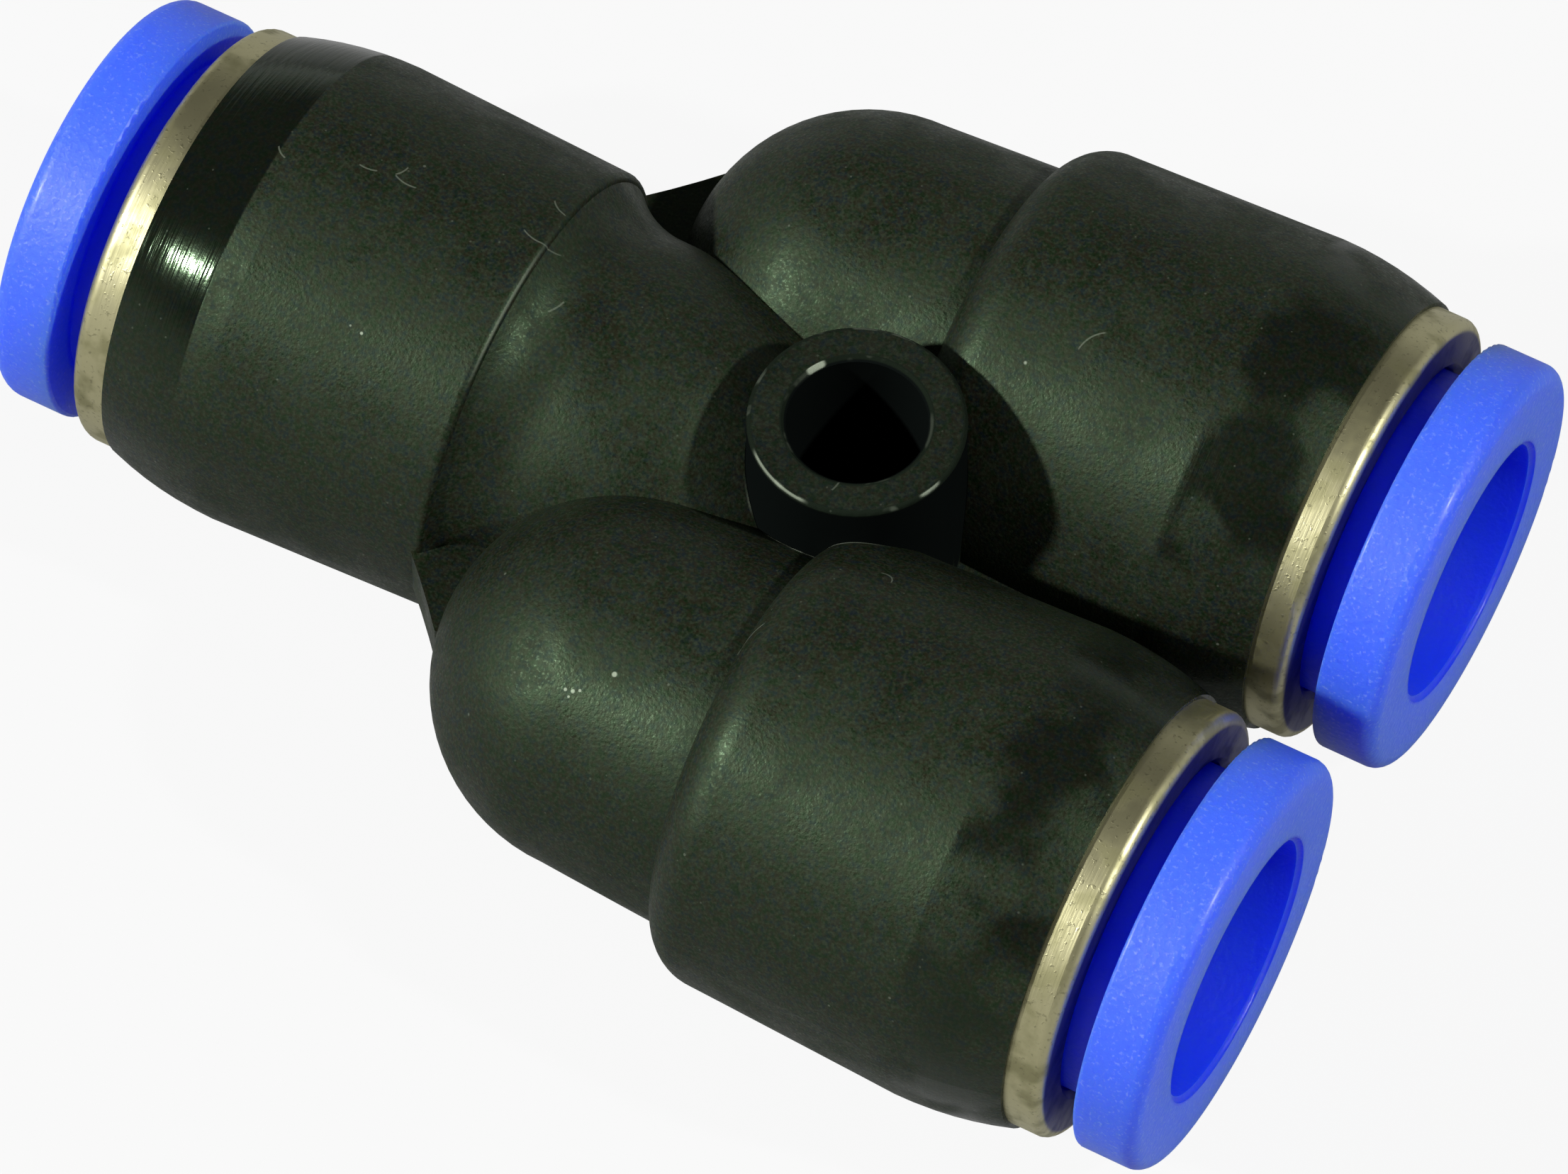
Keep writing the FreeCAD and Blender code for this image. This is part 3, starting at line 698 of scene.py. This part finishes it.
# Painted shade with a painted blue reflection, for the ring's front face in the groove.
NICKEL_PAINTED_SHADE_BLUE = colour(0.020, 0.025, 0.160)
FRONT_FACE_RADIUS = (6.46, 6.60)
PITTING_SHARE, GROOVE_PAINTED_SHADE_SHARE = 0.5, 0.85
RING_ROUGHNESS, ROUGHER_BY_STAIN = 0.40, 0.14
LINE_HEIGHT, PITTING_HEIGHT = 0.6, 0.4
RING_RELIEF = 0.008

ring = Finish("nickel_on_brass", Metallic=1.0)
ring_spot = ring.place()
turning = ring.streaks(ring_spot, TURNED_LINES_PER_MM)
stain = ring.patches(ring_spot, size=1.1, start=0.42, full=0.66, detail=3.0)
pitting = ring.patches(ring_spot, size=0.14, start=0.58, full=0.72, detail=3.0)
# The front face gets painted shade and a painted reflection of the sleeve's blue.
front_face_painted_shade = from_port_axis(ring, ring_spot).below(*FRONT_FACE_RADIUS)
plating = ring.mix(stain, NICKEL, STAINED_NICKEL)
plating = ring.mix(PITTING_SHARE * pitting, plating, PITTED_NICKEL)
plating = ring.mix(GROOVE_PAINTED_SHADE_SHARE * front_face_painted_shade, plating, NICKEL_PAINTED_SHADE_BLUE)
ring.feed(
    Base_Color=plating,
    Roughness=RING_ROUGHNESS + ROUGHER_BY_STAIN * stain,
    Normal=ring.bump(LINE_HEIGHT * turning + PITTING_HEIGHT * pitting, RING_RELIEF),
)
ring.dress_ports("cap_ring")

# %% [markdown]
# ## Inside the sockets
#
# Three more pieces sit behind each sleeve. They show only down the bores and when the fitting is
# taken apart, but each has the finish of its own material. The claw is spring steel, blanked and
# rolled: bright, with a faint grain along the strip.

# %% Dress the claws
ROLLED_LINES_PER_MM = (1.5, 9.0, 9.0)
STEEL, BRIGHT_STEEL = colour(0.50, 0.50, 0.49), colour(0.66, 0.65, 0.63)
STEEL_ROUGHNESS, ROUGHER_BY_STRIP = 0.24, 0.14
STEEL_RELIEF = 0.004

steel = Finish("spring_steel", Metallic=1.0)
strip = steel.streaks(steel.place(), ROLLED_LINES_PER_MM, detail=3.0)
steel.feed(
    Base_Color=steel.mix(strip, STEEL, BRIGHT_STEEL),
    Roughness=STEEL_ROUGHNESS + ROUGHER_BY_STRIP * strip,
    Normal=steel.bump(strip, STEEL_RELIEF),
)
steel.dress_ports("lock_claw")

# %% [markdown]
# The back ring is the sleeve's kind of plastic left in its own milky white, and the seal is black
# nitrile rubber, with the soft bloom that moulded rubber has. The two finishes are built alike: a
# wide noise shifts the colour and the gloss, and a fine one makes the relief. So one function
# makes both from a few numbers.

# %% Dress the back rings and the seals
def moulded(name, tints, cloud, roughness, rougher, texture, depth, **constants):
    """A moulded material: clouds shift tint and gloss, and a fine texture gives the relief."""
    made = Finish(name, **constants)
    point = made.place()
    clouds = made.grain(point, cloud, detail=3.0)
    made.feed(
        Base_Color=made.mix(clouds, *tints),
        Roughness=roughness + rougher * clouds,
        Normal=made.bump(made.grain(point, texture), depth),
    )
    return made


milky = moulded(
    "milky_plastic",
    tints=(colour(0.62, 0.61, 0.56), colour(0.74, 0.73, 0.69)),
    cloud=1.8,
    roughness=0.40,
    rougher=0.12,
    texture=0.2,
    depth=0.006,
)
milky.dress_ports("back_ring")

rubber = moulded(
    "nitrile_rubber",
    tints=(colour(0.010, 0.010, 0.011), colour(0.028, 0.028, 0.030)),
    cloud=0.9,
    roughness=0.55,
    rougher=0.2,
    texture=0.15,
    depth=0.010,
    Specular_IOR_Level=0.35,
)
rubber.dress_ports("seal_ring")

# %% [markdown]
# ## The floor
#
# The object lies on white paper, and the picture's background is pure white. White paper would
# throw so much light back up that the black plastic's low sides turned grey, so for light that
# bounces the paper is a middle grey. A share of glow makes it white, for camera rays and for rays
# that a glossy or clear surface sends out, and what is left of the paper keeps the object's
# shadow.

# %% Lay the floor
FLOOR_SIZE = 4.0
DARKER_PAPER, LIGHTER_PAPER = colour(0.23, 0.23, 0.23), colour(0.26, 0.26, 0.26)
PAPER_ROUGHNESS = 0.9
CAMERA_GLOW = 0.92
MIRRORED_GLOW = 0.16


def seen_directly(finish, mirrored):
    """1 for the camera's rays, and mirrored for those that a glossy or clear surface sends out."""
    camera, glossy, clear = [
        finish.node("LightPath", output=f"Is_{kind}_Ray")
        for kind in ("Camera", "Glossy", "Transmission")
    ]
    return camera.larger(mirrored * glossy.larger(clear))


def make_floor():
    bpy.ops.object.select_all(action="DESELECT")
    bpy.ops.mesh.primitive_plane_add(size=FLOOR_SIZE, location=(0, 0, low.z))
    floor = bpy.context.object
    floor.name = "floor"
    paper = Finish("white_paper", Roughness=PAPER_ROUGHNESS)
    fibres = paper.grain(paper.place(), size=1.5, detail=3.0)
    paper.feed(Base_Color=paper.mix(fibres, DARKER_PAPER, LIGHTER_PAPER))
    glow = paper.node("Emission", Color=colour(1, 1, 1), Strength=1.0)
    paper.cover_with(glow, CAMERA_GLOW * seen_directly(paper, MIRRORED_GLOW / CAMERA_GLOW))
    floor.data.materials.append(paper.material)
    return floor


floor = make_floor()
print("floor at z", round(floor.location.z / MM, 2), "mm")

# %% [markdown]
# ## The room
#
# Pale walls stand near the horizon under a dim ceiling. Only the camera and reflections see the
# walls, so the metal finds something to mirror, and the ceiling's dim light keeps the black
# plastic black. The height is the direction's own z: 0 at the horizon and 1 straight up.

# %% Paint the room
CEILING = 0.07
WALL_TOP = (0.05, 0.45)
MIRRORED_WALL = 0.6


class Room(Finish):
    """The same node helpers on the world's tree."""

    def __init__(self, name):
        self.world = bpy.data.worlds.new(name)
        self.world.use_nodes = True
        self.tree = self.world.node_tree
        self.background = self.tree.nodes["Background"]


room = Room("room")
height = room.parts(room.node("TexCoord", output="Generated"))[2]
wall = height.below(*WALL_TOP) * seen_directly(room, MIRRORED_WALL)
strength = CEILING + (1 - CEILING) * wall
room.background.inputs["Color"].default_value = colour(1, 1, 1)
room.tree.links.new(strength.socket, room.background.inputs["Strength"])
bpy.context.scene.world = room.world
bpy.context.scene.view_settings.view_transform = "Standard"
print("ceiling brightness", CEILING, "and walls up to", WALL_TOP[1])
